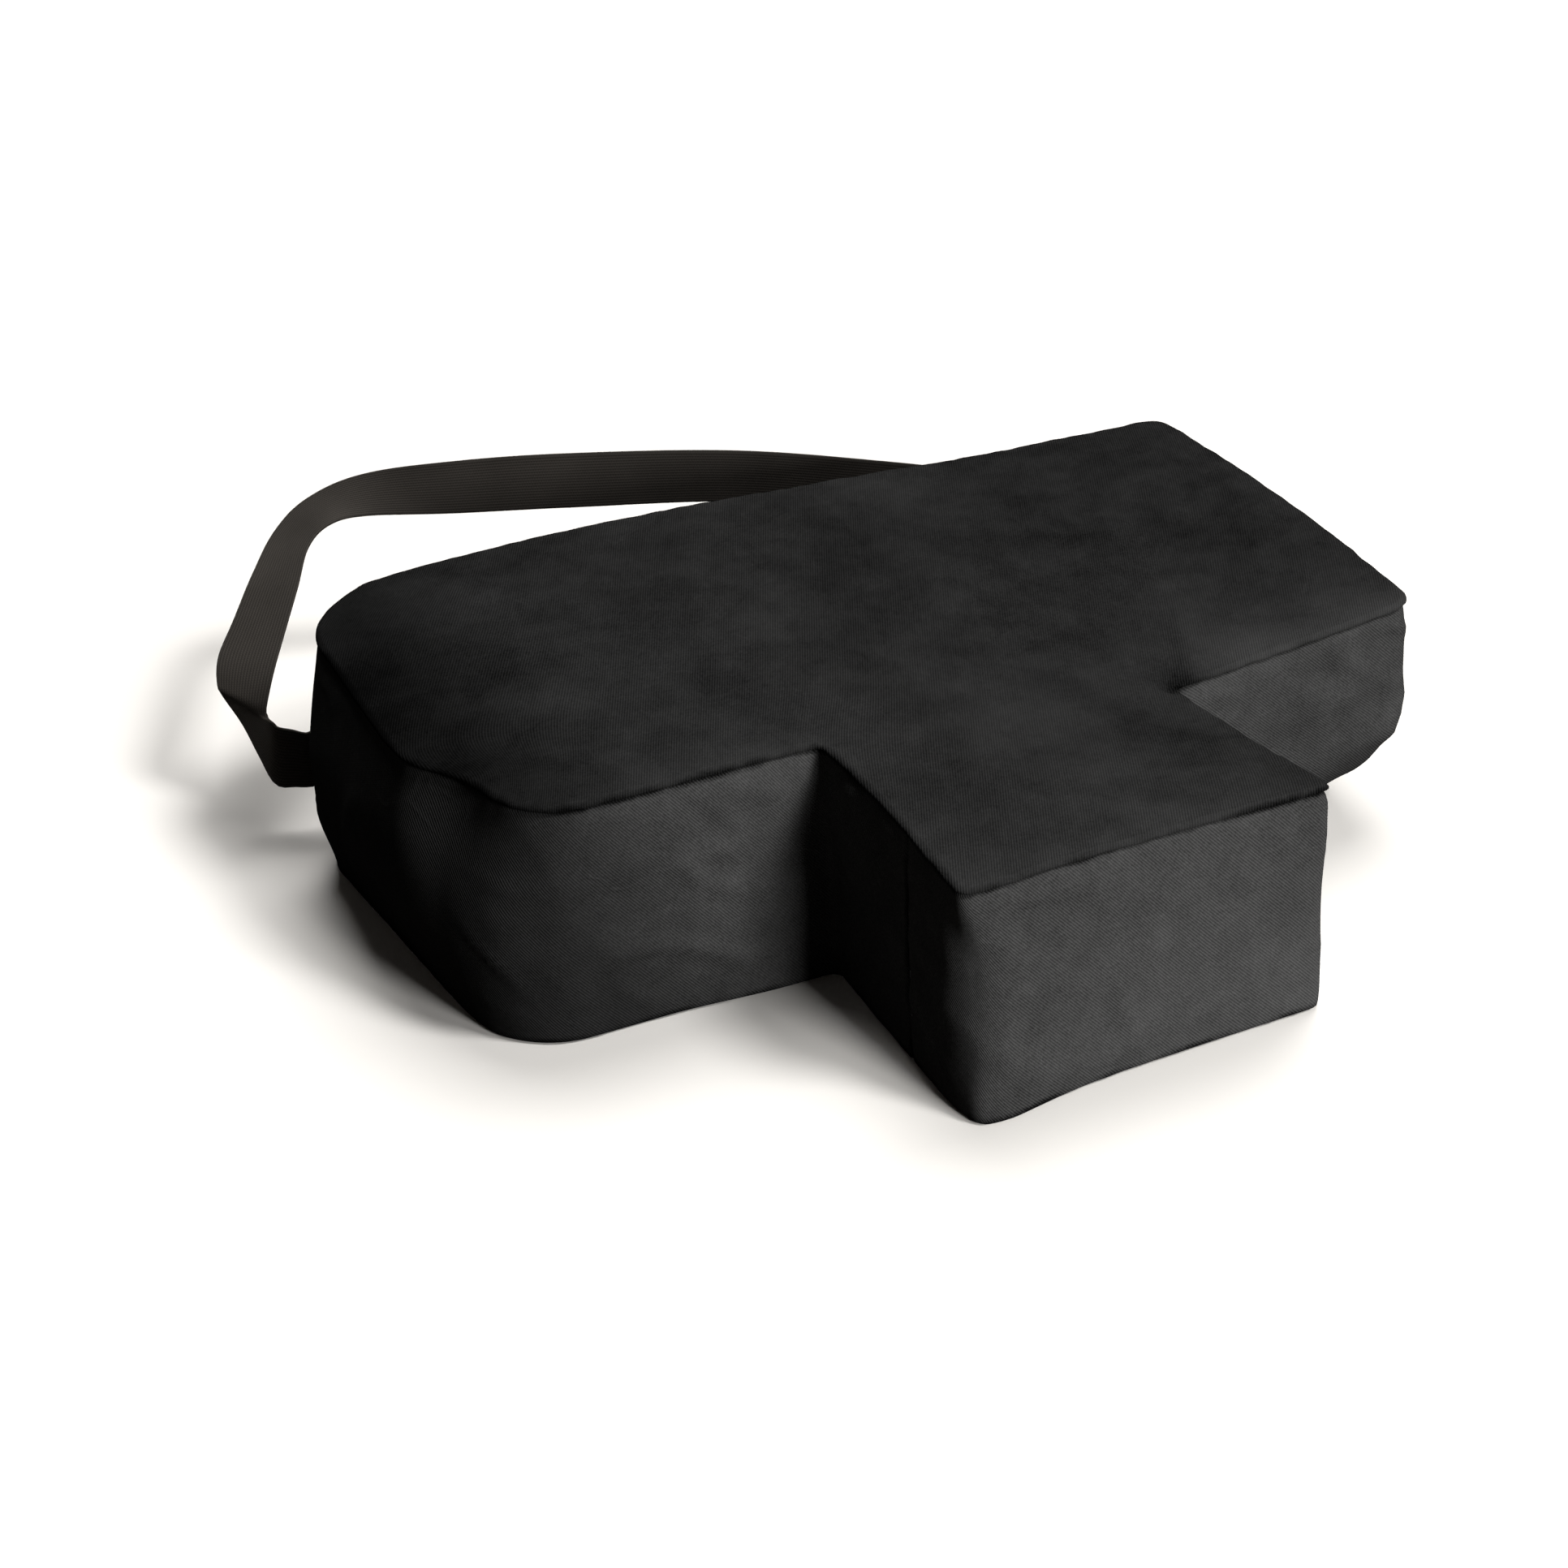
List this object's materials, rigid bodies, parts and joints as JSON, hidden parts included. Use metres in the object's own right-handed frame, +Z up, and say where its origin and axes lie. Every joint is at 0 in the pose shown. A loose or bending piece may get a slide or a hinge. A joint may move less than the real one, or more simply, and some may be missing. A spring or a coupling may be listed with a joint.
{
  "type": "film changing bag",
  "caption": "T-shaped padded film changing bag with a zip and light flap at the back, tucked-in elastic-cuffed arm sleeves and an elastic strap.",
  "frame": {"origin": "middle of the crossbar on the underside of the bag", "axes": "+X along the crossbar to its right end, the stem of the T points to -Y, +Z up"},
  "size_m": [0.5197, 0.5083, 0.1259],
  "materials": {
    "twill": "matte",
    "foam": "matte",
    "lining": "matte",
    "tape": "matte",
    "nylon": "satin",
    "metal": "satin",
    "elastic": "matte",
    "thread": "matte"
  },
  "bodies": {
    "bag": {"back_lining": "lining", "back_panel": "twill", "back_strip": "twill", "bottom_binding": "tape", "bottom_board": "foam", "bottom_cover": "twill", "bottom_lining": "lining", "front_left_board": "foam", "front_right_board": "foam", "left_arm_binding": "tape", "left_bar_tack": "thread", "left_boxing": "twill", "left_cuff": "tape", "left_end_pad": "foam", "left_sleeve": "lining", "left_strap_tab": "elastic", "right_arm_binding": "tape", "right_bar_tack": "thread", "right_boxing": "twill", "right_cuff": "tape", "right_end_pad": "foam", "right_sleeve": "lining", "right_strap_tab": "elastic", "side_lining": "lining", "stem_front_board": "foam", "stem_left_board": "foam", "stem_right_board": "foam", "top_binding": "tape", "top_board": "foam", "top_cover": "twill", "top_lining": "lining", "zip_stop_left": "metal", "zip_stop_right": "metal", "zip_tape_lower": "tape", "zip_tape_upper": "tape", "zip_teeth_lower": "nylon", "zip_teeth_upper": "nylon"},
    "strap": {"strap": "elastic"},
    "slider": {"zip_slider": "metal"},
    "pull": {"zip_pull": "metal"},
    "flap": {"light_flap": "lining"}
  },
  "joints": [
    {"name": "strap_swing", "type": "hinge", "parent": "bag", "child": "strap", "pos_m": [0, 0.1178, 0.039], "axis": [1, 0, 0], "range_deg": [-35, 44], "stiffness_Nm_per_rad": 0.08, "springref_deg": 3.44},
    {"name": "zip_travel", "type": "slide", "parent": "bag", "child": "slider", "axis": [-1, 0, 0], "range_m": [0, 0.34]},
    {"name": "pull_flip", "type": "hinge", "parent": "slider", "child": "pull", "pos_m": [0.1726, 0.1193, 0.094], "axis": [0, 0, -1], "range_deg": [0, 175]},
    {"name": "flap_swing", "type": "hinge", "parent": "bag", "child": "flap", "pos_m": [0, 0.1072, 0.1021], "axis": [-1, 0, 0], "range_deg": [0, 80]}
  ]
}
